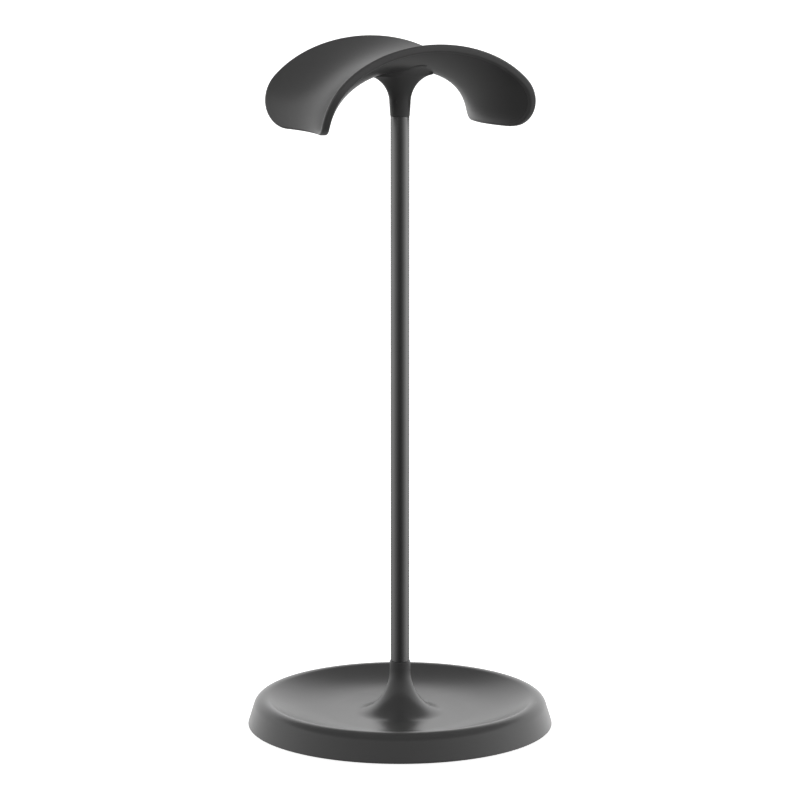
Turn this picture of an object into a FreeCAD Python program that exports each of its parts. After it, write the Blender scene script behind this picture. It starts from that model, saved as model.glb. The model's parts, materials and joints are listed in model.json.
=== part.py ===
import FreeCAD, Part
import math
import os

# Headphone stand: a round weighted base, a slim tube and an arched saddle for the headband.
# Units are millimetres. The origin is on the table under the tube's axis, +Z is up, +X runs along
# the arch (the way the headband curves over it) and Y runs across it, from rim to rim.

V = FreeCAD.Vector

# ---------------------------------------------------------------- driving dimensions

BASE_DIAMETER = 136.0
BASE_LIFT = 0.8              # the shell's lower edge stands this far above the table
RIM_TOP = 13.0               # height of the rim's crown
RIM_CROWN_RADIUS = 5.0
RIM_TAPER = 16.2             # degrees that the outer wall leans inwards
BOWL_RADIUS = 60.0           # shallow hollow curve from the tray's floor up to the rim
TRAY_HEIGHT = 6.2            # height of the tray's flat floor
BOSS_TOP = 29.4              # seam between the boss and the tube
BOSS_RADIUS = 4.6
BOSS_FLARE_REACH = 16.0      # the trumpet's quarter ellipse: outwards ...
BOSS_FLARE_HEIGHT = 19.5     # ... and upwards

TUBE_DIAMETER = 8.3
TUBE_WALL = 1.15
TUBE_LENGTH = 243.7

ARCH_TOP = 296.9             # top of the saddle on the tube's axis, between the rims
ARCH_HALF_SPAN = 45.4        # half axes of the ellipse that the saddle follows
ARCH_RISE = 29.3
ARCH_DROP = 28.9             # from the top down to the level ends
SADDLE_WIDTH = 67.8
RIM_HEIGHT = 10.1            # the two rims stand this far above the middle of the saddle
CORNER_RADIUS = 17.4         # rounded ends of the saddle, measured on its surface
SADDLE_THICKNESS = 3.9
EDGE_ROUND = 1.0             # rounding of the cover's upper edge

# ---------------------------------------------------------------- secondary dimensions

SLIP = 0.02                  # radial gap of pieces that are pressed or screwed together
LOOSE = 0.3                  # radial gap of pieces that only drop into place

PAD_THICKNESS = 1.2
TAPE_THICKNESS = 0.2
COVER_PLATE_THICKNESS = 1.2
COVER_PLATE_BOTTOM = PAD_THICKNESS + TAPE_THICKNESS
COVER_PLATE_TOP = COVER_PLATE_BOTTOM + COVER_PLATE_THICKNESS
COVER_PLATE_RADIUS = BASE_DIAMETER / 2 - 3.0
COVER_PLATE_HOLE = 7.0
PAD_OUTER = COVER_PLATE_RADIUS - 1.0
PAD_INNER = PAD_OUTER - 20.0

SHELL_WALL = 2.0
SHELL_CEILING = TRAY_HEIGHT - SHELL_WALL
CEILING_BEND = (BASE_DIAMETER / 2 - 30.0, SHELL_CEILING)     # the ceiling slopes up from here ...
CEILING_HEAD = (BASE_DIAMETER / 2 - 14.0, RIM_TOP - 4.4)     # ... to here, under the bowl
CAVITY_HEAD_RADIUS = BASE_DIAMETER / 2 - 7.0                 # the cavity's outer wall leans with the rim
CAVITY_FOOT_RADIUS = BASE_DIAMETER / 2 - 4.2
HUB_RADIUS = 8.5
HUB_POCKET_RADIUS = 6.0
HUB_POCKET_TOP = 8.4
HUB_MARGIN = 1.0             # the space under the hub is this much wider than the hub
PILLAR_RADIUS = 3.2
PILLAR_CIRCLE = BASE_DIAMETER / 2 - 11.0
PILLAR_COUNT = 4
PILLAR_TOP = CEILING_HEAD[1] + 1.0

BALLAST_OUTER = 50.0
BALLAST_GAP = 0.2            # between the ballast and the shell's ceiling
BALLAST_SCREW_CIRCLE = 13.5
BALLAST_SCREW_COUNT = 3
BALLAST_SCREW_LENGTH = 4.0
COVER_SCREW_LENGTH = 6.0
THREAD_END = 1.0             # blind holes run on this far past the end of their screw or stud

TUBE_BOTTOM = BOSS_TOP
TUBE_TOP = TUBE_BOTTOM + TUBE_LENGTH
TUBE_BORE = TUBE_DIAMETER / 2 - TUBE_WALL
PLUG_RADIUS = TUBE_BORE - SLIP
PLUG_IN_TUBE = 20.0
LOWER_SPIGOT = 6.0           # the lower plug reaches down into the boss
UPPER_SPIGOT = 3.0           # the upper plug reaches up into the neck

M5_RADIUS = 2.5
M5_CLEAR = 2.8
M5_HEAD_RADIUS = 4.3
M5_HEAD_HEIGHT = 2.8
M5_HEAD_ROUND = 1.2
M5_SOCKET = 1.7              # hexagon socket, centre to corner
M5_SOCKET_DEPTH = 1.6
M3_RADIUS = 1.5
M3_HEAD_RADIUS = 2.9
M3_HEAD_HEIGHT = M3_HEAD_RADIUS - M3_RADIUS
M3_SOCKET = 1.1
M3_SOCKET_DEPTH = 0.9 * M3_HEAD_HEIGHT
WASHER_RADIUS = 5.0
WASHER_THICKNESS = 1.0
WASHER_HOLE = M5_RADIUS + 0.15
LOCK_WASHER_RADIUS = 4.4
LOCK_WASHER_THICKNESS = 1.2
LOCK_WASHER_SPLIT = 0.8
BOLT_LENGTH = 35.0
STUD_LENGTH = 26.0
STUD_TOP = TUBE_TOP + 11.5

NECK_FOOT_RADIUS = 4.3
NECK_WAIST_RADIUS = 4.7
NECK_WAIST_HEIGHT = TUBE_TOP + 5.9
NECK_FLARE_ALONG = 12.0      # radius of the flare along the arch ...
NECK_FLARE_ACROSS = 17.0     # ... and across it
NECK_COLLAR = 2.6            # height of the collar above the flare, which the saddle trims away

COVER_SKIN = 1.4             # silicone moulded over the top of the plate and round its edge
SADDLE_SCREW_SPACING = 13.0
SADDLE_SCREW_LENGTH = 6.0


# ---------------------------------------------------------------- helpers

def cylinder(radius, bottom, top, x=0.0, y=0.0):
    """Upright cylinder between two heights."""
    return Part.makeCylinder(radius, top - bottom, V(x, y, bottom))


def ring(outer, inner, bottom, top):
    """Flat ring round the Z axis."""
    return cylinder(outer, bottom, top).cut(cylinder(inner, bottom, top))


def line(start, end):
    """Straight edge in the XZ plane from (radius, height) pairs."""
    return Part.makeLine(V(start[0], 0, start[1]), V(end[0], 0, end[1]))


def outline(points):
    """Straight edges from each point to the next."""
    return [line(a, b) for a, b in zip(points, points[1:])]


def arc(centre, radius, start, end):
    """Circular edge in the XZ plane, its angles in degrees anticlockwise from +X."""
    middle = (start + end) / 2
    ends = []
    for angle in (start, middle, end):
        turn = math.radians(angle)
        ends.append(V(centre[0] + radius * math.cos(turn), 0, centre[1] + radius * math.sin(turn)))
    return Part.Arc(*ends).toShape()


def revolved(edges):
    """Solid of revolution round the Z axis from a closed outline in the XZ plane."""
    wire = Part.Wire(Part.__sortEdges__(edges))
    return Part.Face(wire).revolve(V(0, 0, 0), V(0, 0, 1), 360)


def round_places(count, circle, first=0.0):
    """Evenly spaced (x, y) places on a circle, the first at an angle in degrees."""
    turns = [math.radians(first + 360.0 * i / count) for i in range(count)]
    return [(circle * math.cos(t), circle * math.sin(t)) for t in turns]


def hexagon(corner_radius, bottom, top, x, y):
    """Upright hexagonal prism, such as the socket of a screw."""
    corners = [V(x + px, y + py, bottom) for px, py in round_places(6, corner_radius)]
    face = Part.Face(Part.makePolygon(corners + corners[:1]))
    return face.extrude(V(0, 0, top - bottom))


def countersunk_screw(head_face, length, x, y, pointing_up):
    """M3 countersunk screw whose flat head face is at the height given."""
    way = 1 if pointing_up else -1
    shank = Part.makeCylinder(M3_RADIUS, length, V(x, y, head_face), V(0, 0, way))
    head = Part.makeCone(M3_HEAD_RADIUS, M3_RADIUS, M3_HEAD_HEIGHT, V(x, y, head_face), V(0, 0, way))
    low, high = sorted((head_face, head_face + way * M3_SOCKET_DEPTH))
    return shank.fuse(head).removeSplitter().cut(hexagon(M3_SOCKET, low, high, x, y))


def countersunk_hole(head_face, length, x, y, pointing_up):
    """Space that such a screw fills, with a slip gap all round."""
    way = 1 if pointing_up else -1
    shank = Part.makeCylinder(M3_RADIUS + SLIP, length + SLIP, V(x, y, head_face), V(0, 0, way))
    start = V(x, y, head_face - way * 4 * SLIP)
    grown = 5 * SLIP
    wide = M3_HEAD_RADIUS + grown
    head = Part.makeCone(wide, M3_RADIUS + SLIP, M3_HEAD_HEIGHT + grown, start, V(0, 0, way))
    return shank.fuse(head)


# ---------------------------------------------------------------- base

def shell_outside():
    """Edges of the base's visible face, from the foot of the outer wall up to the boss's rim."""
    lean = math.radians(RIM_TAPER)
    crown_height = RIM_TOP - RIM_CROWN_RADIUS
    rise = crown_height - BASE_LIFT
    wall_offset = BASE_DIAMETER / 2 * math.cos(lean)
    crown_place = (wall_offset - RIM_CROWN_RADIUS - rise * math.sin(lean)) / math.cos(lean)
    wall_foot = (BASE_DIAMETER / 2, BASE_LIFT)
    wall_head = (crown_place + RIM_CROWN_RADIUS * math.cos(lean),
                 crown_height + RIM_CROWN_RADIUS * math.sin(lean))

    radii = RIM_CROWN_RADIUS + BOWL_RADIUS
    slope = math.degrees(math.acos(1 - (RIM_TOP - TRAY_HEIGHT) / radii))
    hollow_place = crown_place - radii * math.sin(math.radians(slope))
    hollow_height = TRAY_HEIGHT + BOWL_RADIUS

    flare_place = BOSS_RADIUS + BOSS_FLARE_REACH
    flare_height = TRAY_HEIGHT + BOSS_FLARE_HEIGHT
    flare_centre = V(flare_place, 0, flare_height)
    ellipse = Part.Ellipse(V(flare_place, 0, TRAY_HEIGHT), V(BOSS_RADIUS, 0, flare_height), flare_centre)
    quarter = Part.ArcOfEllipse(ellipse, 0, math.pi / 2).toShape()

    edges = [line(wall_foot, wall_head)]
    edges.append(arc((crown_place, crown_height), RIM_CROWN_RADIUS, RIM_TAPER, 90 + slope))
    edges.append(arc((hollow_place, hollow_height), BOWL_RADIUS, -90 + slope, -90))
    edges.append(line((hollow_place, TRAY_HEIGHT), (flare_place, TRAY_HEIGHT)))
    edges.append(quarter)
    edges.append(line((BOSS_RADIUS, flare_height), (BOSS_RADIUS, BOSS_TOP)))
    return edges


def shell_cavity():
    """Space inside the shell, under the tray and up into the rim."""
    seat = COVER_PLATE_RADIUS + LOOSE
    corners = [
        (HUB_RADIUS, 0), (HUB_RADIUS, SHELL_CEILING), CEILING_BEND,
        CEILING_HEAD, (CAVITY_HEAD_RADIUS, CEILING_HEAD[1]), (CAVITY_FOOT_RADIUS, COVER_PLATE_TOP),
        (seat, COVER_PLATE_TOP), (seat, 0), (HUB_RADIUS, 0),
    ]
    return revolved(outline(corners))


def make_base_shell():
    """Cast shell: rim, tray and boss in one piece, hollow underneath, with four screw pillars."""
    foot = [line((BOSS_RADIUS, BOSS_TOP), (0, BOSS_TOP)), line((0, BOSS_TOP), (0, BASE_LIFT)),
            line((0, BASE_LIFT), (BASE_DIAMETER / 2, BASE_LIFT))]
    shell = revolved(shell_outside() + foot)
    pillars = [cylinder(PILLAR_RADIUS, COVER_PLATE_TOP, PILLAR_TOP, x, y) for x, y in cover_screw_places()]
    cavity = shell_cavity()
    for pillar in pillars:
        cavity = cavity.cut(pillar)
    shell = shell.cut(cavity)
    shell = shell.cut(cylinder(HUB_RADIUS + HUB_MARGIN, 0, COVER_PLATE_TOP))
    shell = shell.cut(cylinder(HUB_POCKET_RADIUS, 0, HUB_POCKET_TOP))
    shell = shell.cut(cylinder(M5_CLEAR, HUB_POCKET_TOP, BOSS_TOP))
    shell = shell.cut(cylinder(PLUG_RADIUS + SLIP, BOSS_TOP - LOWER_SPIGOT, BOSS_TOP))
    for x, y in cover_screw_places():
        shell = shell.cut(countersunk_hole(COVER_PLATE_BOTTOM, COVER_SCREW_LENGTH + THREAD_END, x, y, True))
    for x, y in ballast_screw_places():
        shell = shell.cut(cylinder(M3_RADIUS + SLIP, 0, COVER_PLATE_TOP + BALLAST_SCREW_LENGTH + SLIP, x, y))
    return shell


def cover_screw_places():
    return round_places(PILLAR_COUNT, PILLAR_CIRCLE, 45)


def ballast_screw_places():
    return round_places(BALLAST_SCREW_COUNT, BALLAST_SCREW_CIRCLE, 90)


def make_ballast_plate():
    """Cast ring that weighs the base down: flat round the hub, thicker under the bowl."""
    inner = HUB_RADIUS + LOOSE
    flat_top = SHELL_CEILING - BALLAST_GAP
    bend = CEILING_BEND[0]
    rise = (CEILING_HEAD[1] - SHELL_CEILING) / (CEILING_HEAD[0] - bend)
    edge_top = flat_top + rise * (BALLAST_OUTER - bend)
    corners = [(inner, COVER_PLATE_TOP), (BALLAST_OUTER, COVER_PLATE_TOP), (BALLAST_OUTER, edge_top),
               (bend, flat_top), (inner, flat_top), (inner, COVER_PLATE_TOP)]
    plate = revolved(outline(corners))
    for x, y in ballast_screw_places():
        plate = plate.cut(countersunk_hole(COVER_PLATE_TOP, BALLAST_SCREW_LENGTH, x, y, True))
    return plate


def make_ballast_screws():
    screws = []
    for x, y in ballast_screw_places():
        screws.append(countersunk_screw(COVER_PLATE_TOP, BALLAST_SCREW_LENGTH, x, y, True))
    return Part.makeCompound(screws)


def make_bottom_cover():
    """Plate that closes the base, with a hole for the bolt's key."""
    plate = ring(COVER_PLATE_RADIUS, COVER_PLATE_HOLE, COVER_PLATE_BOTTOM, COVER_PLATE_TOP)
    for x, y in cover_screw_places():
        plate = plate.cut(countersunk_hole(COVER_PLATE_BOTTOM, COVER_SCREW_LENGTH, x, y, True))
    return plate


def make_cover_screws():
    screws = []
    for x, y in cover_screw_places():
        screws.append(countersunk_screw(COVER_PLATE_BOTTOM, COVER_SCREW_LENGTH, x, y, True))
    return Part.makeCompound(screws)


def make_foot_pad():
    return ring(PAD_OUTER, PAD_INNER, 0, PAD_THICKNESS)


def make_foot_tape():
    return ring(PAD_OUTER, PAD_INNER, PAD_THICKNESS, COVER_PLATE_BOTTOM)


# ---------------------------------------------------------------- tube and its fastenings

WASHER_BOTTOM = HUB_POCKET_TOP - WASHER_THICKNESS
LOCK_WASHER_BOTTOM = WASHER_BOTTOM - LOCK_WASHER_THICKNESS


def make_post_tube():
    return ring(TUBE_DIAMETER / 2, TUBE_BORE, TUBE_BOTTOM, TUBE_TOP)


def make_lower_plug():
    """Tapped plug in the foot of the tube, with a spigot that centres it in the boss."""
    return ring(PLUG_RADIUS, M5_RADIUS + SLIP, TUBE_BOTTOM - LOWER_SPIGOT, TUBE_BOTTOM + PLUG_IN_TUBE)


def make_upper_plug():
    """Tapped plug in the head of the tube, with a spigot that centres the neck."""
    return ring(PLUG_RADIUS, M5_RADIUS + SLIP, TUBE_TOP - PLUG_IN_TUBE, TUBE_TOP + UPPER_SPIGOT)


def make_post_bolt():
    """Long button-head screw that clamps the boss to the lower plug."""
    head_bottom = LOCK_WASHER_BOTTOM - M5_HEAD_HEIGHT
    shank = cylinder(M5_RADIUS, LOCK_WASHER_BOTTOM, LOCK_WASHER_BOTTOM + BOLT_LENGTH)
    head = Part.makeCylinder(M5_HEAD_RADIUS, M5_HEAD_HEIGHT, V(0, 0, head_bottom))
    rim = [edge for edge in head.Edges if abs(edge.CenterOfMass.z - head_bottom) < 0.01]
    head = head.makeFillet(M5_HEAD_ROUND, rim[:1])
    bolt = shank.fuse(head).removeSplitter()
    return bolt.cut(hexagon(M5_SOCKET, head_bottom, head_bottom + M5_SOCKET_DEPTH, 0, 0))


def make_post_washer():
    return ring(WASHER_RADIUS, WASHER_HOLE, WASHER_BOTTOM, HUB_POCKET_TOP)


def make_post_lock_washer():
    """Split spring washer, drawn flat."""
    washer = ring(LOCK_WASHER_RADIUS, WASHER_HOLE, LOCK_WASHER_BOTTOM, WASHER_BOTTOM)
    corner = V(0, -LOCK_WASHER_SPLIT / 2, LOCK_WASHER_BOTTOM)
    return washer.cut(Part.makeBox(2 * LOCK_WASHER_RADIUS, LOCK_WASHER_SPLIT, LOCK_WASHER_THICKNESS, corner))


def make_neck_stud():
    return cylinder(M5_RADIUS, STUD_TOP - STUD_LENGTH, STUD_TOP)


# ---------------------------------------------------------------- saddle

DISH_RADIUS = ((SADDLE_WIDTH / 2) ** 2 + RIM_HEIGHT ** 2) / (2 * RIM_HEIGHT)
ARCH_FOOT = ARCH_TOP - ARCH_DROP
OVERRUN = 8.0                # the slabs run this far past the saddle's outline before it is trimmed
CORNER_POINTS = 5            # points that the curve of a rounded corner passes through


def dish_rise(across):
    """Height of the dished section above its middle, at a distance across the saddle."""
    return DISH_RADIUS - math.sqrt(DISH_RADIUS ** 2 - across ** 2)


def arch_edge():
    """Centre line of the saddle's top: an arc of an ellipse, a little longer than the saddle."""
    middle = ARCH_TOP - ARCH_RISE
    ellipse = Part.Ellipse(V(ARCH_HALF_SPAN, 0, middle), V(0, 0, ARCH_TOP), V(0, 0, middle))
    extra = OVERRUN / ARCH_RISE
    return Part.ArcOfEllipse(ellipse, -extra, math.pi + extra).toShape()


def arch_normal(edge, parameter):
    """Outward direction of the arch, square to its centre line."""
    along = edge.tangentAt(parameter)
    return V(0, 1, 0).cross(along).normalize()


def arch_slab(upper, lower, half_width):
    """Dished slab along the whole arch, between two depths under its top surface."""
    edge = arch_edge()
    start = edge.valueAt(edge.FirstParameter)
    normal = arch_normal(edge, edge.FirstParameter)

    def place(across, depth):
        return start + normal * (dish_rise(across) - depth) + V(0, across, 0)

    top = Part.Arc(place(-half_width, upper), place(0, upper), place(half_width, upper)).toShape()
    bottom = Part.Arc(place(half_width, lower), place(0, lower), place(-half_width, lower)).toShape()
    right = Part.makeLine(place(half_width, upper), place(half_width, lower))
    left = Part.makeLine(place(-half_width, lower), place(-half_width, upper))
    section = Part.Wire([top, right, bottom, left])
    return Part.Wire([edge]).makePipeShell([section], True, True)


def saddle_corner(inset, side):
    """Rounded end corner of the saddle, seen along X, as a curve from the end up to the side."""
    edge = arch_edge()
    top_parameter = (edge.FirstParameter + edge.LastParameter) / 2
    half_length = half_arch_length(edge, top_parameter)
    radius = CORNER_RADIUS - inset
    centre_along = half_length - CORNER_RADIUS
    centre_across = SADDLE_WIDTH / 2 - CORNER_RADIUS
    points = []
    for step in range(CORNER_POINTS):
        turn = math.pi / 2 * step / (CORNER_POINTS - 1)
        along = centre_along + radius * math.cos(turn)
        across = centre_across + radius * math.sin(turn)
        parameter = edge.getParameterByLength(edge.Length / 2 - along)
        height = edge.valueAt(parameter).z + dish_rise(across) * arch_normal(edge, parameter).z
        points.append(V(0, side * across, height))
    curve = Part.BSplineCurve()
    curve.interpolate(points)
    return curve.toShape(), points[0], points[-1]


def half_arch_length(edge, top_parameter):
    """Length of the centre line from its top down to the level of the saddle's ends."""
    low = edge.FirstParameter
    high = top_parameter
    for _ in range(40):
        middle = (low + high) / 2
        if edge.valueAt(middle).z < ARCH_FOOT:
            low = middle
        else:
            high = middle
    part = Part.ArcOfEllipse(edge.Curve, low, top_parameter).toShape()
    return part.Length


def saddle_prism(inset):
    """Everything inside the saddle's outline, as a prism along X with two rounded lower corners."""
    right_corner, right_end, right_side = saddle_corner(inset, 1)
    left_corner, left_end, left_side = saddle_corner(inset, -1)
    above = ARCH_TOP + 3 * RIM_HEIGHT
    right_top = V(0, right_side.y, above)
    left_top = V(0, left_side.y, above)
    edges = [
        Part.makeLine(left_end, right_end), right_corner, Part.makeLine(right_side, right_top),
        Part.makeLine(right_top, left_top), Part.makeLine(left_top, left_side), left_corner,
    ]
    face = Part.Face(Part.Wire(Part.__sortEdges__(edges)))
    reach = ARCH_HALF_SPAN + 3 * RIM_HEIGHT
    face.translate(V(-reach, 0, 0))
    return face.extrude(V(2 * reach, 0, 0))


def saddle_plate(upper, lower, inset):
    """Part of the saddle between two depths, its outline moved inwards by the inset."""
    return arch_slab(upper, lower, SADDLE_WIDTH / 2 + 2).common(saddle_prism(inset))


def saddle_screw_places():
    return [(-SADDLE_SCREW_SPACING / 2, 0.0), (SADDLE_SCREW_SPACING / 2, 0.0)]


def saddle_screw_head():
    """Height of the screw heads' flat faces, just under the cover on the sloping plate."""
    half = SADDLE_SCREW_SPACING / 2 + M3_HEAD_RADIUS
    fall = ARCH_RISE * (1 - math.sqrt(1 - (half / ARCH_HALF_SPAN) ** 2))
    return ARCH_TOP - COVER_SKIN - fall - SLIP


def make_cradle_core():
    """Rigid arched plate, screwed to the neck."""
    core = saddle_plate(COVER_SKIN, SADDLE_THICKNESS, COVER_SKIN)
    for x, y in saddle_screw_places():
        core = core.cut(countersunk_hole(saddle_screw_head(), SADDLE_SCREW_LENGTH, x, y, False))
        core = core.cut(cylinder(M3_HEAD_RADIUS + 5 * SLIP, saddle_screw_head(), ARCH_TOP, x, y))
    return core


def make_cradle_cover():
    """Soft skin over the plate's top and round its edge, flush with the plate underneath."""
    cover = saddle_plate(0, SADDLE_THICKNESS, 0)
    upper_face = max(cover.Faces, key=lambda face: face.CenterOfMass.z * face.Area)
    cover = cover.makeFillet(EDGE_ROUND, upper_face.Edges)
    return cover.cut(saddle_plate(COVER_SKIN, 2 * SADDLE_THICKNESS, COVER_SKIN))


def make_cradle_screws():
    screws = []
    for x, y in saddle_screw_places():
        screws.append(countersunk_screw(saddle_screw_head(), SADDLE_SCREW_LENGTH, x, y, False))
    return Part.makeCompound(screws)


# ---------------------------------------------------------------- neck

def neck_section(height):
    """Elliptical outline of the neck at a height: a slim cone, then a flare that opens upwards."""
    grown = min(1.0, (height - TUBE_TOP) / (NECK_WAIST_HEIGHT - TUBE_TOP))
    radius = NECK_FOOT_RADIUS + grown * (NECK_WAIST_RADIUS - NECK_FOOT_RADIUS)
    climb = max(0.0, height - NECK_WAIST_HEIGHT)
    along = radius + flare(climb, NECK_FLARE_ALONG)
    across = radius + flare(climb, NECK_FLARE_ACROSS)
    ellipse = Part.Ellipse(V(0, 0, height), along, across)
    return Part.Wire([ellipse.toShape()])


def flare(climb, radius):
    """How far a quarter-round flare has opened after climbing a height."""
    reached = min(climb, radius * math.sin(math.radians(80)))
    return radius - math.sqrt(radius ** 2 - reached ** 2)


def make_neck():
    """Trumpet between tube and saddle: its head is shaped to the underside of the plate."""
    cone = Part.makeLoft([neck_section(TUBE_TOP), neck_section(NECK_WAIST_HEIGHT)], True)
    heights = [NECK_WAIST_HEIGHT + NECK_FLARE_ALONG * math.sin(math.radians(10 * step)) for step in range(9)]
    trumpet = Part.makeLoft([neck_section(height) for height in heights], True)
    collar = Part.makeLoft([neck_section(heights[-1] + NECK_COLLAR * share) for share in (0, 0.5, 1)], True)
    neck = cone.fuse(trumpet).fuse(collar)
    neck = neck.cut(arch_slab(SADDLE_THICKNESS, -2 * RIM_HEIGHT, SADDLE_WIDTH / 2))
    neck = neck.cut(cylinder(PLUG_RADIUS + SLIP, TUBE_TOP, TUBE_TOP + UPPER_SPIGOT))
    neck = neck.cut(cylinder(M5_RADIUS + SLIP, TUBE_TOP, STUD_TOP + THREAD_END))
    for x, y in saddle_screw_places():
        neck = neck.cut(countersunk_hole(saddle_screw_head(), SADDLE_SCREW_LENGTH, x, y, False))
    return neck


# ---------------------------------------------------------------- export

MAKERS = {
    "foot_pad": make_foot_pad,
    "foot_tape": make_foot_tape,
    "bottom_cover": make_bottom_cover,
    "cover_screws": make_cover_screws,
    "ballast_plate": make_ballast_plate,
    "ballast_screws": make_ballast_screws,
    "base_shell": make_base_shell,
    "post_bolt": make_post_bolt,
    "post_washer": make_post_washer,
    "post_lock_washer": make_post_lock_washer,
    "lower_plug": make_lower_plug,
    "post_tube": make_post_tube,
    "upper_plug": make_upper_plug,
    "neck_stud": make_neck_stud,
    "neck": make_neck,
    "cradle_core": make_cradle_core,
    "cradle_screws": make_cradle_screws,
    "cradle_cover": make_cradle_cover,
}

os.makedirs("parts", exist_ok=True)
for name, make in MAKERS.items():
    shape = make()
    box = shape.BoundBox
    print(f"{name:18s} solids {len(shape.Solids)} valid {shape.isValid()} volume {shape.Volume:10.1f} "
          f"z {box.ZMin:.2f}..{box.ZMax:.2f}")
    shape.exportStep(f"parts/{name}.step")
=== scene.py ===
import json
import math

import bpy
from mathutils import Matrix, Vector


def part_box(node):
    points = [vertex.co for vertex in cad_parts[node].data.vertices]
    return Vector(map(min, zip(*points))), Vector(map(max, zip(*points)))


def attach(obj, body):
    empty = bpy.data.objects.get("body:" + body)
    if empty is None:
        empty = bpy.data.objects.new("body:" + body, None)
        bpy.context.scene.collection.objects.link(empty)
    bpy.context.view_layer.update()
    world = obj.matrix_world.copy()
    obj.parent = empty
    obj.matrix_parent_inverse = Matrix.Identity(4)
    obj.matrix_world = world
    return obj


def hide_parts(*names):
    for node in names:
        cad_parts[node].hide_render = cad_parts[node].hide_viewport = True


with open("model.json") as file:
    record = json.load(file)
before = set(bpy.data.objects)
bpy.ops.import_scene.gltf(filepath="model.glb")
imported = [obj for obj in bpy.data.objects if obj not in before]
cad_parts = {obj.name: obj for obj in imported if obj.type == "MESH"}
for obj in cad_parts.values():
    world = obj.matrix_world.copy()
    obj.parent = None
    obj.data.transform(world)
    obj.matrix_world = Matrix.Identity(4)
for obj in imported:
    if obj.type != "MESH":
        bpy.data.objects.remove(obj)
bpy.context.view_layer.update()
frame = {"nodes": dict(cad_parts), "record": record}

# Headphone stand. Metres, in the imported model's frame: the origin is on the table under the post,
# +Z is up, +X runs along the saddle's arch and Y runs across it.

MM = 0.001
TINY = 1e-9


# ---------------------------------------------------------------- sizes read from the frame

BASE_LOW, BASE_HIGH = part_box("base_shell")
TUBE_LOW, TUBE_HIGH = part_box("post_tube")
COVER_LOW, COVER_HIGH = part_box("cradle_cover")
PLATE_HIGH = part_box("cradle_core")[1]
MOUNTS = {mount["name"]: mount for mount in frame["record"]["mounts"]}

BASE_RADIUS = BASE_HIGH.x
BASE_FOOT = BASE_LOW.z
BOSS_TOP = BASE_HIGH.z
TUBE_RADIUS = TUBE_HIGH.x
TUBE_FOOT = TUBE_LOW.z
TUBE_TOP = TUBE_HIGH.z
ARCH_TOP = MOUNTS["headband_saddle"]["pos_m"][2]
ARCH_FOOT = COVER_LOW.z
SADDLE_WIDTH = COVER_HIGH.y - COVER_LOW.y

# ---------------------------------------------------------------- shape of the saddle

ARCH_HALF_SPAN = 45.4 * MM       # half axes of the ellipse that the saddle follows
ARCH_RISE = 29.3 * MM
RIM_HEIGHT = 10.1 * MM
CORNER_RADIUS = 17.4 * MM
SADDLE_THICKNESS = 3.9 * MM
COVER_SKIN = SADDLE_WIDTH / 2 - PLATE_HIGH.y
DISH_RADIUS = ((SADDLE_WIDTH / 2) ** 2 + RIM_HEIGHT ** 2) / (2 * RIM_HEIGHT)

UPPER_ROUND = 1.0 * MM           # rounded edges of the soft cover
LOWER_ROUND = 1.0 * MM
SEAM_ROUND = 0.08 * MM           # hairline where the cover meets the plate underneath

ARCH_STEPS = 4000                # straight pieces that the arch's length is added up from
ALONG_STEPS = 150                # mesh density of the saddle
ACROSS_STEPS = 64
CORNER_STEPS = 26
ROUND_STEPS = 8


class Arch:
    """Centre line of the saddle's top, by distance along it from its highest point."""

    def __init__(self):
        centre = ARCH_TOP - ARCH_RISE
        last = math.acos((ARCH_FOOT - centre) / ARCH_RISE)
        self.angles = [last * i / ARCH_STEPS for i in range(ARCH_STEPS + 1)]
        self.lengths = [0.0]
        for a, b in zip(self.angles, self.angles[1:]):
            dx = ARCH_HALF_SPAN * (math.sin(b) - math.sin(a))
            dz = ARCH_RISE * (math.cos(b) - math.cos(a))
            self.lengths.append(self.lengths[-1] + math.hypot(dx, dz))
        self.half_length = self.lengths[-1]

    def angle(self, along):
        """Ellipse angle at a distance along the arch, up to the arch's end."""
        place = min(abs(along), self.half_length)
        low, high = 0, ARCH_STEPS
        while high - low > 1:
            middle = (low + high) // 2
            if self.lengths[middle] > place:
                high = middle
            else:
                low = middle
        share = (place - self.lengths[low]) / (self.lengths[high] - self.lengths[low])
        turn = self.angles[low] + share * (self.angles[high] - self.angles[low])
        return math.copysign(turn, along)

    def point(self, along, across, depth):
        """Point of the saddle at a depth under its dished top surface."""
        turn = self.angle(along)
        x = ARCH_HALF_SPAN * math.sin(turn)
        z = ARCH_TOP + ARCH_RISE * (math.cos(turn) - 1)
        nx = math.sin(turn) / ARCH_HALF_SPAN
        nz = math.cos(turn) / ARCH_RISE
        size = math.hypot(nx, nz)
        lift = DISH_RADIUS - math.sqrt(DISH_RADIUS ** 2 - across ** 2) - depth
        return Vector((x + lift * nx / size, across, z + lift * nz / size))


ARCH = Arch()


# ---------------------------------------------------------------- mesh helpers

SHARP = math.radians(30)         # edges that turn more than this are shaded as crisp


def new_piece(name, verts, faces, coat, node):
    """Smooth mesh object that rides on the root body and stands for a CAD node."""
    mesh = bpy.data.meshes.new(name)
    mesh.from_pydata([tuple(v) for v in verts], [], faces)
    mesh.validate()
    mesh.update()
    for polygon in mesh.polygons:
        polygon.use_smooth = True
    mesh.set_sharp_from_angle(angle=SHARP)
    mesh.materials.append(coat)
    piece = bpy.data.objects.new(name, mesh)
    bpy.context.scene.collection.objects.link(piece)
    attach(piece, "root")
    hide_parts(node)


def arc_points(centre, radius, start, end, steps):
    """Points on a circular arc, its angles in degrees."""
    turns = [math.radians(start + (end - start) * i / steps) for i in range(steps + 1)]
    return [(centre[0] + radius * math.cos(t), centre[1] + radius * math.sin(t)) for t in turns]


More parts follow.
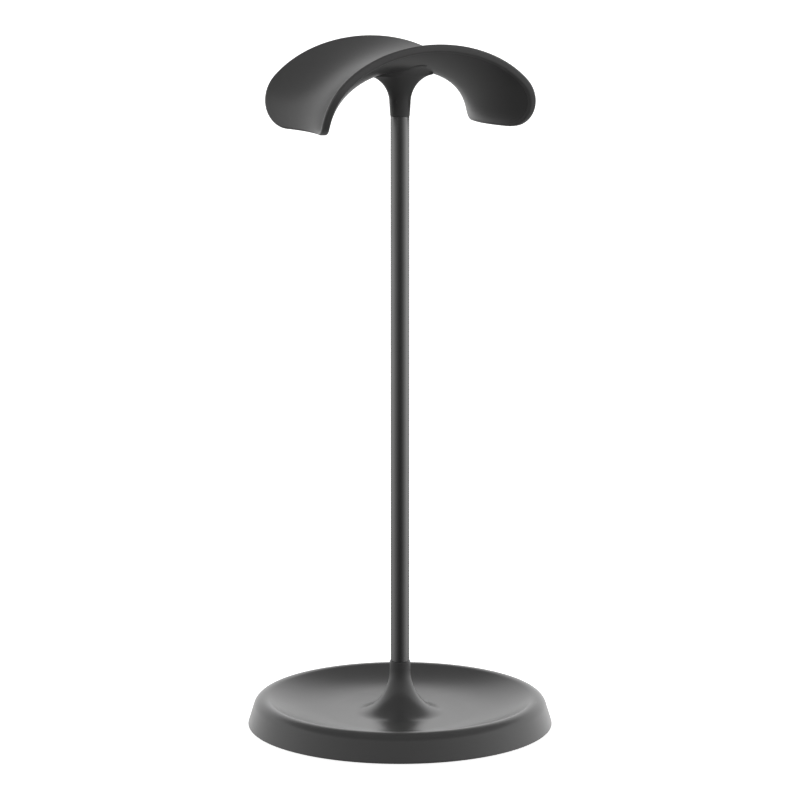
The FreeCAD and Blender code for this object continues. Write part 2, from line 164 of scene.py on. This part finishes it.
def between(start, end, steps):
    """Points that divide a straight line into equal steps, without its two ends."""
    step = ((end[0] - start[0]) / steps, (end[1] - start[1]) / steps)
    return [(start[0] + step[0] * i, start[1] + step[1] * i) for i in range(1, steps)]


def revolve(profile, steps):
    """Closed surface of revolution; a profile point on the axis becomes one vertex."""
    verts = []
    rows = []
    for radius, height in profile:
        if radius < TINY:
            rows.append([len(verts)])
            verts.append((0.0, 0.0, height))
            continue
        rows.append(list(range(len(verts), len(verts) + steps)))
        for i in range(steps):
            turn = 2 * math.pi * i / steps
            verts.append((radius * math.cos(turn), radius * math.sin(turn), height))
    faces = []
    for low, high in zip(rows, rows[1:]):
        for i in range(steps):
            j = (i + 1) % steps
            if len(low) == 1:
                faces.append((low[0], high[j], high[i]))
            elif len(high) == 1:
                faces.append((low[i], low[j], high[0]))
            else:
                faces.append((low[i], low[j], high[j], high[i]))
    return verts, faces


# ---------------------------------------------------------------- shader helpers

def grey(level):
    return (level, level, level, 1)


def feed(tree, socket, value):
    """Sets a node's input to a fixed value, or links it to another node's output."""
    if isinstance(value, bpy.types.NodeSocket):
        tree.links.new(value, socket)
    else:
        socket.default_value = value


def material(name):
    made = bpy.data.materials.new(name)
    made.use_nodes = True
    shader = made.node_tree.nodes["Principled BSDF"]
    return made, made.node_tree, shader


def noise(tree, scale, detail, coordinates):
    node = tree.nodes.new("ShaderNodeTexNoise")
    node.inputs["Scale"].default_value = scale
    node.inputs["Detail"].default_value = detail
    tree.links.new(coordinates, node.inputs["Vector"])
    return node.outputs["Fac"]


def ramp(tree, value, start, end, at_start, at_end, shape="LINEAR"):
    """Value going from one level to another, flat outside the two ends."""
    node = tree.nodes.new("ShaderNodeMapRange")
    node.interpolation_type = shape
    node.inputs["From Min"].default_value = start
    node.inputs["From Max"].default_value = end
    node.inputs["To Min"].default_value = at_start
    node.inputs["To Max"].default_value = at_end
    tree.links.new(value, node.inputs["Value"])
    return node.outputs["Result"]


def smooth_ramp(tree, value, start, end, at_start, at_end):
    return ramp(tree, value, start, end, at_start, at_end, shape="SMOOTHSTEP")


def blended(tree, factor, first, second):
    """Colour between two, each a socket or a fixed colour."""
    node = tree.nodes.new("ShaderNodeMix")
    node.data_type = "RGBA"
    feed(tree, node.inputs["Factor"], factor)
    feed(tree, node.inputs["A"], first)
    feed(tree, node.inputs["B"], second)
    return node.outputs["Result"]


def combine(tree, operation, first, second):
    """Math node on two values, each a socket or a number."""
    node = tree.nodes.new("ShaderNodeMath")
    node.operation = operation
    feed(tree, node.inputs[0], first)
    feed(tree, node.inputs[1], second)
    return node.outputs["Value"]


def dot(tree, vector, direction):
    node = tree.nodes.new("ShaderNodeVectorMath")
    node.operation = "DOT_PRODUCT"
    node.inputs[1].default_value = direction
    tree.links.new(vector, node.inputs[0])
    return node.outputs["Value"]


# ---------------------------------------------------------------- materials

CLOUD_SCALE = 55.0               # soft clouds about 20 mm across ...
CLOUD_DETAIL = 3.0
CLOUD_SHADE = 0.07               # ... share by which they darken and lighten the coat ...
CLOUD_ROUGHNESS = 0.02           # ... and change its roughness
NOISE_LOW, NOISE_HIGH = 0.1, 0.9
GRAIN_SCALE = 2600.0             # grain of about 0.4 mm
GRAIN_DETAIL = 2.0
GRAIN_HEIGHT = 0.02 * MM
EDGE_START, EDGE_FULL = 0.53, 0.62     # pointiness where an edge starts to look worn, and is fully so
EDGE_WEAR = 0.02                 # how much lighter a worn edge is


def coated(name, shade, roughness, grain, specular=0.5, metallic=0.0, edge_tint=1.0):
    """Coat with fine grain in the bump, clouded roughness and shade, and slightly lighter edges."""
    made, tree, shader = material(name)
    coordinates = tree.nodes.new("ShaderNodeTexCoord").outputs["Object"]
    cloud = noise(tree, CLOUD_SCALE, CLOUD_DETAIL, coordinates)
    fine = noise(tree, GRAIN_SCALE, GRAIN_DETAIL, coordinates)

    tone = blended(tree, cloud, grey(shade * (1 - CLOUD_SHADE)), grey(shade * (1 + CLOUD_SHADE)))
    pointiness = tree.nodes.new("ShaderNodeNewGeometry").outputs["Pointiness"]
    worn = ramp(tree, pointiness, EDGE_START, EDGE_FULL, 0.0, 1.0)
    feed(tree, shader.inputs["Base Color"], blended(tree, worn, tone, grey(shade + EDGE_WEAR)))

    smooth, rough = roughness - CLOUD_ROUGHNESS, roughness + CLOUD_ROUGHNESS
    feed(tree, shader.inputs["Roughness"], ramp(tree, cloud, NOISE_LOW, NOISE_HIGH, smooth, rough))

    bump = tree.nodes.new("ShaderNodeBump")
    bump.inputs["Strength"].default_value = grain
    bump.inputs["Distance"].default_value = GRAIN_HEIGHT
    tree.links.new(fine, bump.inputs["Height"])
    tree.links.new(bump.outputs["Normal"], shader.inputs["Normal"])

    shader.inputs["Specular IOR Level"].default_value = specular
    shader.inputs["Metallic"].default_value = metallic
    shader.inputs["Specular Tint"].default_value = grey(edge_tint)
    return made


SILICONE = coated("silicone", 0.084, 0.34, 0.3, specular=0.28)
FOOT_SILICONE = coated("foot silicone", 0.02, 0.6, 0.6)
BASE_COAT = coated("base coat", 0.066, 0.30, 0.3, specular=0.42)
NECK_COAT = coated("neck coat", 0.08, 0.4, 0.3, specular=0.3)
POST_COAT = coated("post coat", 0.165, 0.25, 0.15, metallic=1.0, edge_tint=0.6)
CORE_PLASTIC = coated("core plastic", 0.05, 0.36, 0.3, specular=0.45)
COVER_PLASTIC = coated("cover plastic", 0.03, 0.55, 0.5)
BALLAST = coated("ballast", 0.12, 0.7, 0.8)
PLATED = coated("plated steel", 0.5, 0.3, 0.2)
BLACK_STEEL = coated("black steel", 0.03, 0.4, 0.3)
BRASS = coated("brass", 0.4, 0.3, 0.2)
TAPE = coated("tape", 0.6, 0.7, 0.2)


# ---------------------------------------------------------------- saddle pieces

class SaddleOutline:
    """Rounded outline of the saddle in its developed plane, with the outward direction at each point."""

    def __init__(self):
        end = ARCH.half_length - CORNER_RADIUS
        side = SADDLE_WIDTH / 2 - CORNER_RADIUS
        straight = ALONG_STEPS - 2 * CORNER_STEPS
        quarter = [math.radians(90.0 * i / CORNER_STEPS) for i in range(CORNER_STEPS)]
        self.sides = [(-end, side, -math.cos(t), math.sin(t)) for t in quarter]
        self.sides += [(end * (2 * i / straight - 1), side, 0.0, 1.0) for i in range(straight + 1)]
        self.sides += [(end, side, math.cos(t), math.sin(t)) for t in reversed(quarter)]

    def rows(self, edge):
        """(distance along, half width, depth) of each row across the saddle, at a place on its edge."""
        rows = []
        for s, t, ns, nt in self.sides:
            across = t + CORNER_RADIUS * nt
            slope = nt * across / math.sqrt(DISH_RADIUS ** 2 - across ** 2)
            inset, depth = edge(math.atan(slope))
            reach = CORNER_RADIUS - inset
            rows.append((s + reach * ns, t + reach * nt, depth))
        return rows


OUTLINE = SaddleOutline()


# The edge of a saddle solid is a list of places. Each is a function that takes the lean of the dished
# surface, outwards and up, and gives the inset from the outline and the depth under the top surface.

def at(inset, depth):
    return lambda lean: (inset, depth)


def rounded(radius, share, lean):
    """Place on a rounded edge between a leaning surface (share 0) and the side wall (share 1)."""
    turn = (math.pi / 2 + lean) * (1 - share)
    inset = radius * (1 - math.cos(turn))
    drop = radius * (math.tan(lean) + 1 / math.cos(lean) - math.sin(turn))
    return inset, drop - inset * math.tan(lean)


def upper_round(share):
    return lambda lean: rounded(UPPER_ROUND, share, lean)


def lower_round(share):
    def place(lean):
        inset, rise = rounded(LOWER_ROUND, 1 - share, -lean)
        return inset, SADDLE_THICKNESS - rise
    return place


def add_point(verts, along, across, depth):
    """Adds a vertex on the saddle and returns its index."""
    verts.append(ARCH.point(along, across, depth))
    return len(verts) - 1


def saddle_patch(edge, verts):
    """Adds the vertices of a whole layer of the saddle and returns their indices, row by row."""
    shares = [2 * j / ACROSS_STEPS - 1 for j in range(ACROSS_STEPS + 1)]
    grid = []
    for along, half, depth in OUTLINE.rows(edge):
        grid.append([add_point(verts, along, half * share, depth) for share in shares])
    return grid


def patch_border(grid):
    """Indices round the edge of a layer, in order."""
    right = [row[-1] for row in grid]
    left = [row[0] for row in grid]
    return right + grid[-1][-2:0:-1] + left[::-1] + grid[0][1:-1]


def saddle_ring(edge, verts):
    """Adds the vertices round the outline at a place on the edge, in the border's order."""
    rows = OUTLINE.rows(edge)
    inner = [2 * j / ACROSS_STEPS - 1 for j in range(1, ACROSS_STEPS)]
    first, last = rows[0], rows[-1]
    places = list(rows)
    places += [(last[0], last[1] * share, last[2]) for share in reversed(inner)]
    places += [(along, -half, depth) for along, half, depth in reversed(rows)]
    places += [(first[0], first[1] * share, first[2]) for share in inner]
    return [add_point(verts, *place) for place in places]


def grid_faces(grid, flip):
    faces = []
    for low, high in zip(grid, grid[1:]):
        for j in range(len(low) - 1):
            face = (low[j], high[j], high[j + 1], low[j + 1])
            faces.append(face[::-1] if flip else face)
    return faces


def band_faces(upper, lower):
    """Faces between two rings, the upper one first."""
    faces = []
    for i in range(len(upper)):
        j = (i + 1) % len(upper)
        faces.append((upper[i], lower[i], lower[j], upper[j]))
    return faces


def saddle_solid(section):
    """Closed saddle-shaped solid whose edge follows a list of places from its top layer to its lowest."""
    verts = []
    top = saddle_patch(section[0], verts)
    faces = grid_faces(top, False)
    ring = patch_border(top)
    for place in section[1:-1]:
        lower = saddle_ring(place, verts)
        faces += band_faces(ring, lower)
        ring = lower
    bottom = saddle_patch(section[-1], verts)
    faces += band_faces(ring, patch_border(bottom))
    faces += grid_faces(bottom, True)
    return verts, faces


def cover_section():
    """Edge of the soft cover: round the rim, inwards under it to the seam, and up beside the plate."""
    shares = [i / ROUND_STEPS for i in range(ROUND_STEPS + 1)]
    upper = [upper_round(share) for share in shares]
    lower = [lower_round(share) for share in shares]
    seam = [at(COVER_SKIN - SEAM_ROUND, SADDLE_THICKNESS), at(COVER_SKIN, SADDLE_THICKNESS - SEAM_ROUND)]
    return upper + lower + seam + [at(COVER_SKIN, COVER_SKIN)]


def plate_section():
    """Edge of the hard plate: down beside the cover, with a hairline chamfer at the seam."""
    return [at(COVER_SKIN, COVER_SKIN), at(COVER_SKIN, SADDLE_THICKNESS - SEAM_ROUND),
            at(COVER_SKIN + SEAM_ROUND, SADDLE_THICKNESS)]


def make_saddle():
    verts, faces = saddle_solid(cover_section())
    new_piece("saddle_cover", verts, faces, SILICONE, "cradle_cover")
    verts, faces = saddle_solid(plate_section())
    new_piece("saddle_plate", verts, faces, CORE_PLASTIC, "cradle_core")


# ---------------------------------------------------------------- neck

NECK_FOOT_RADIUS = 4.3 * MM
NECK_WAIST_RADIUS = 4.7 * MM
NECK_WAIST_HEIGHT = TUBE_TOP + 5.9 * MM
NECK_CHAMFER = 0.15 * MM
NECK_SUNK = 0.3 * MM             # the neck ends this far inside the plate
FLARE_ALONG = 12.0 * MM          # radius of the flare along the arch ...
FLARE_ACROSS = 17.0 * MM         # ... and across it
FLARE_LIMIT = math.radians(84)   # it opens no further once its curve has turned this far

NECK_COLUMNS = 160
STEM_STEPS = 12
FLARE_STEPS = 40
HALVINGS = 24                    # when searching for the place where two surfaces meet


def flare(climb, radius):
    """How far a quarter-round flare has opened after climbing a height."""
    reached = min(climb, radius * math.sin(FLARE_LIMIT))
    return radius - math.sqrt(radius ** 2 - reached ** 2)


def neck_radii(height):
    """Half axes of the neck's oval section, along the arch and across it."""
    grown = min(1.0, (height - TUBE_TOP) / (NECK_WAIST_HEIGHT - TUBE_TOP))
    radius = NECK_FOOT_RADIUS + grown * (NECK_WAIST_RADIUS - NECK_FOOT_RADIUS)
    climb = max(0.0, height - NECK_WAIST_HEIGHT)
    return radius + flare(climb, FLARE_ALONG), radius + flare(climb, FLARE_ACROSS)


def underside_height(x, y):
    """Height of the plate's underside over a point, near the middle of the saddle."""
    low, high = 0.0, ARCH.half_length
    for _ in range(HALVINGS):
        along = (low + high) / 2
        if ARCH.point(along, y, SADDLE_THICKNESS).x < abs(x):
            low = along
        else:
            high = along
    return ARCH.point(along, y, SADDLE_THICKNESS).z


def neck_meeting(turn):
    """Height at which the neck's flare meets the plate, in one direction round the post."""
    low, high = NECK_WAIST_HEIGHT, ARCH_TOP
    for _ in range(HALVINGS):
        height = (low + high) / 2
        along, across = neck_radii(height)
        if height < underside_height(along * math.cos(turn), across * math.sin(turn)):
            low = height
        else:
            high = height
    return height


def neck_column(turn):
    """(height, half axes) of the points up one side of the neck, from its chamfered foot."""
    stem = NECK_WAIST_HEIGHT - TUBE_TOP
    rise = neck_meeting(turn) - NECK_WAIST_HEIGHT
    heights = [TUBE_TOP + NECK_CHAMFER]
    heights += [TUBE_TOP + stem * k / STEM_STEPS for k in range(1, STEM_STEPS)]
    for k in range(FLARE_STEPS + 1):
        heights.append(NECK_WAIST_HEIGHT + rise * math.sin(math.radians(90.0 * k / FLARE_STEPS)))
    foot = neck_radii(TUBE_TOP)[0] - NECK_CHAMFER
    column = [(TUBE_TOP, (foot, foot))]
    column += [(height, neck_radii(height)) for height in heights]
    column.append((heights[-1] + NECK_SUNK, column[-1][1]))
    return column


def make_neck():
    """Trumpet whose flare runs up to the plate's underside and ends just inside it."""
    verts = [(0.0, 0.0, TUBE_TOP)]
    columns = []
    for i in range(NECK_COLUMNS):
        turn = 2 * math.pi * i / NECK_COLUMNS
        column = []
        for height, (along, across) in neck_column(turn):
            column.append(len(verts))
            verts.append((along * math.cos(turn), across * math.sin(turn), height))
        columns.append(column)
    top = len(verts)
    verts.append((0.0, 0.0, ARCH_TOP - SADDLE_THICKNESS + NECK_SUNK))
    faces = []
    for this, other in zip(columns, columns[1:] + columns[:1]):
        faces.append((0, other[0], this[0]))
        for k in range(len(this) - 1):
            faces.append((this[k], other[k], other[k + 1], this[k + 1]))
        faces.append((this[-1], other[-1], top))
    new_piece("neck_trumpet", verts, faces, NECK_COAT, "neck")


# ---------------------------------------------------------------- post

TUBE_WALL = 1.15 * MM
TUBE_CHAMFER = 0.12 * MM
TUBE_COLUMNS = 128
TUBE_STEPS = 60


def make_post():
    """Tube with a plain bore and a hair's chamfer outside at each end."""
    bore = TUBE_RADIUS - TUBE_WALL
    lower = (TUBE_RADIUS, TUBE_FOOT + TUBE_CHAMFER)
    upper = (TUBE_RADIUS, TUBE_TOP - TUBE_CHAMFER)
    profile = [(TUBE_RADIUS - TUBE_CHAMFER, TUBE_FOOT), lower]
    profile += between(lower, upper, TUBE_STEPS)
    profile += [upper, (TUBE_RADIUS - TUBE_CHAMFER, TUBE_TOP)]
    profile += [(bore, TUBE_TOP), (bore, TUBE_FOOT), profile[0]]
    verts, faces = revolve(profile, TUBE_COLUMNS)
    new_piece("post", verts, faces, POST_COAT, "post_tube")


# ---------------------------------------------------------------- base

RIM_TOP = 13.0 * MM
CROWN_RADIUS = 5.0 * MM
WALL_LEAN = 16.2                 # degrees that the outer wall leans inwards
BOWL_RADIUS = 60.0 * MM
TRAY_HEIGHT = 6.2 * MM
BOSS_RADIUS = 4.6 * MM
BOSS_CHAMFER = 0.2 * MM
BOSS_BORE = 3.0 * MM             # clear of the plug that hangs down from the tube
FLARE_REACH = 16.0 * MM          # the boss's quarter ellipse: outwards ...
FLARE_HEIGHT = 19.5 * MM         # ... and upwards
FOOT_ROUND = 0.35 * MM
FOOT_WIDTH = 2.6 * MM            # the wall's foot, beside the bottom cover
FOOT_STEP = 1.2 * MM             # the base is closed this far above the foot, within the bottom cover

BASE_COLUMNS = 256
FOOT_STEPS = 5
WALL_STEPS = 10
CURVE_STEPS = 40
TRAY_STEPS = 4
TRUMPET_STEPS = 48


def boss_curve(outer_place):
    """Quarter ellipse from the tray's floor up to the boss."""
    points = []
    for i in range(TRUMPET_STEPS + 1):
        turn = math.radians(90.0 * i / TRUMPET_STEPS)
        climb = FLARE_HEIGHT * (1 - math.cos(turn))
        points.append((outer_place - FLARE_REACH * math.sin(turn), TRAY_HEIGHT + climb))
    return points


def base_profile():
    """Outline of the base, from under its foot, over the rim and the tray, up the boss and down its bore."""
    lean = math.radians(WALL_LEAN)
    crown_height = RIM_TOP - CROWN_RADIUS
    rise = crown_height - BASE_FOOT
    crown_place = (BASE_RADIUS * math.cos(lean) - CROWN_RADIUS - rise * math.sin(lean)) / math.cos(lean)
    radii = CROWN_RADIUS + BOWL_RADIUS
    slope = math.degrees(math.acos(1 - (RIM_TOP - TRAY_HEIGHT) / radii))
    bowl_place = crown_place - radii * math.sin(math.radians(slope))
    flare_place = BOSS_RADIUS + FLARE_REACH
    foot_centre = (BASE_RADIUS - FOOT_ROUND, BASE_FOOT + FOOT_ROUND)
    bowl_centre = (bowl_place, TRAY_HEIGHT + BOWL_RADIUS)
    boss_foot = TRAY_HEIGHT + FLARE_HEIGHT
    foot = arc_points(foot_centre, FOOT_ROUND, -90, WALL_LEAN, FOOT_STEPS)
    crown = arc_points((crown_place, crown_height), CROWN_RADIUS, WALL_LEAN, 90 + slope, CURVE_STEPS)
    bowl = arc_points(bowl_centre, BOWL_RADIUS, -90 + slope, -90, CURVE_STEPS)

    profile = [(0.0, BASE_FOOT + FOOT_STEP)]
    profile += [(BASE_RADIUS - FOOT_WIDTH, BASE_FOOT + FOOT_STEP), (BASE_RADIUS - FOOT_WIDTH, BASE_FOOT)]
    profile += foot
    profile += between(foot[-1], crown[0], WALL_STEPS)
    profile += crown
    profile += bowl[1:]
    profile += between((bowl_place, TRAY_HEIGHT), (flare_place, TRAY_HEIGHT), TRAY_STEPS)
    profile += boss_curve(flare_place)
    profile += [(BOSS_RADIUS, (boss_foot + BOSS_TOP) / 2), (BOSS_RADIUS, BOSS_TOP - BOSS_CHAMFER)]
    profile += [(BOSS_RADIUS - BOSS_CHAMFER, BOSS_TOP), (BOSS_BORE, BOSS_TOP)]
    profile += [(BOSS_BORE, TRAY_HEIGHT), (0.0, TRAY_HEIGHT)]
    return profile


def make_base():
    verts, faces = revolve(base_profile(), BASE_COLUMNS)
    new_piece("base", verts, faces, BASE_COAT, "base_shell")


# ---------------------------------------------------------------- carried-over nodes

KEPT = {
    "foot_pad": FOOT_SILICONE, "foot_tape": TAPE, "bottom_cover": COVER_PLASTIC, "cover_screws": PLATED,
    "ballast_plate": BALLAST, "ballast_screws": PLATED, "post_bolt": BLACK_STEEL, "post_washer": PLATED,
    "post_lock_washer": PLATED, "lower_plug": BRASS, "upper_plug": BRASS, "neck_stud": PLATED,
    "cradle_screws": PLATED,
}


def dress_kept_nodes():
    for name, coat in KEPT.items():
        node = frame["nodes"][name]
        node.data.materials.clear()
        node.data.materials.append(coat)


# ---------------------------------------------------------------- stage

TENT_REACH = 8.0
FLOOR_GAP = 0.02 * MM            # keeps the floor's surface apart from the foot pad's
FLOOR_SHADE = 0.8
FLOOR_GLOW = 0.9
FLOOR_ROUGHNESS = 0.9


def make_floor():
    """Pale floor inside a wide tent of the same paper. It glows evenly, only the camera sees it, and from
    outside it is clear, so that the stand can be looked at from underneath."""
    sides = (-TENT_REACH, TENT_REACH)
    verts = [(x, y, z) for z in (-FLOOR_GAP, TENT_REACH) for y in sides for x in sides]
    faces = [(0, 1, 3, 2), (4, 6, 7, 5), (0, 4, 5, 1), (2, 3, 7, 6), (0, 2, 6, 4), (1, 5, 7, 3)]
    mesh = bpy.data.meshes.new("floor")
    mesh.from_pydata(verts, [], faces)
    floor = bpy.data.objects.new("floor", mesh)
    bpy.context.scene.collection.objects.link(floor)
    made, tree, shader = material("floor")
    shader.inputs["Base Color"].default_value = grey(FLOOR_SHADE)
    shader.inputs["Roughness"].default_value = FLOOR_ROUGHNESS
    shader.inputs["Emission Color"].default_value = grey(1)
    shader.inputs["Emission Strength"].default_value = FLOOR_GLOW
    outside = tree.nodes.new("ShaderNodeNewGeometry").outputs["Backfacing"]
    clear = tree.nodes.new("ShaderNodeBsdfTransparent").outputs["BSDF"]
    mixed = tree.nodes.new("ShaderNodeMixShader")
    tree.links.new(outside, mixed.inputs["Fac"])
    tree.links.new(shader.outputs["BSDF"], mixed.inputs[1])
    tree.links.new(clear, mixed.inputs[2])
    tree.links.new(mixed.outputs["Shader"], tree.nodes["Material Output"].inputs["Surface"])
    mesh.materials.append(made)
    floor.visible_glossy = False
    floor.visible_diffuse = False
    floor.visible_shadow = False


# ---------------------------------------------------------------- studio light

VIEW_YAW = math.radians(27.31)   # the front view is turned this far from across the saddle
FRONT = (-math.sin(VIEW_YAW), -math.cos(VIEW_YAW), 0.0)
RIGHT = (math.cos(VIEW_YAW), -math.sin(VIEW_YAW), 0.0)
UP = (0.0, 0.0, 1.0)

# Heights here are the z of a unit direction. Levels are shares of the bright band's brightness.
STUDIO_LEVEL = 1.5
SHADE_HEIGHTS = (-0.10, 0.30)    # straight in front, at the lower of these heights and the upper ...
SHADE_DEPTHS = (0.93, 0.60)      # ... these shares of the light are missing
SIDE_LEVELS = (0.87, 1.13)       # from the far left to the far right
CEILING_HEIGHTS = (0.56, 0.64)
CEILING_LEVEL = 0.20
GROUND_HEIGHTS = (-0.38, -0.12)
GROUND_LEVEL = 0.22


def make_world():
    """Studio as the stand reflects it: a bright band round the horizon, dark in front, above and below."""
    world = bpy.data.worlds.new("studio")
    world.use_nodes = True
    tree = world.node_tree
    background = tree.nodes["Background"]
    direction = tree.nodes.new("ShaderNodeTexCoord").outputs["Generated"]
    height = dot(tree, direction, UP)
    facing = ramp(tree, dot(tree, direction, FRONT), 0.0, 1.0, 0.0, 1.0)
    shade = combine(tree, "MULTIPLY", facing, smooth_ramp(tree, height, *SHADE_HEIGHTS, *SHADE_DEPTHS))
    level = combine(tree, "SUBTRACT", 1.0, shade)
    sideways = ramp(tree, dot(tree, direction, RIGHT), -1.0, 1.0, *SIDE_LEVELS)
    ceiling = smooth_ramp(tree, height, *CEILING_HEIGHTS, 1.0, CEILING_LEVEL)
    ground = smooth_ramp(tree, height, *GROUND_HEIGHTS, GROUND_LEVEL, 1.0)
    for factor in (sideways, ceiling, ground, STUDIO_LEVEL):
        level = combine(tree, "MULTIPLY", level, factor)
    tree.links.new(level, background.inputs["Strength"])
    background.inputs["Color"].default_value = grey(1)
    bpy.context.scene.world = world


# ---------------------------------------------------------------- camera

CAMERA_AWAY = 1.48419            # level distance from the post
CAMERA_HEIGHT = 0.40828
CAMERA_PITCH = math.radians(9.8427)
CAMERA_LENS = 153.607            # millimetres, for the sensor width below
CAMERA_SENSOR = 36.0
CAMERA_SHIFT = -0.00894
CAMERA_NEAR = 0.05


def make_camera():
    """Camera about 1.5 m in front of the stand and a little above it, tilted down slightly."""
    data = bpy.data.cameras.new("camera")
    data.lens = CAMERA_LENS
    data.sensor_width = CAMERA_SENSOR
    data.shift_y = CAMERA_SHIFT
    data.clip_start = CAMERA_NEAR
    camera = bpy.data.objects.new("camera", data)
    bpy.context.scene.collection.objects.link(camera)
    camera.location = (CAMERA_AWAY * FRONT[0], CAMERA_AWAY * FRONT[1], CAMERA_HEIGHT)
    camera.rotation_euler = (math.pi / 2 - CAMERA_PITCH, 0, -VIEW_YAW)
    bpy.context.scene.camera = camera


make_saddle()
make_neck()
make_post()
make_base()
dress_kept_nodes()
make_floor()
make_world()
make_camera()
bpy.context.scene.view_settings.view_transform = "Standard"
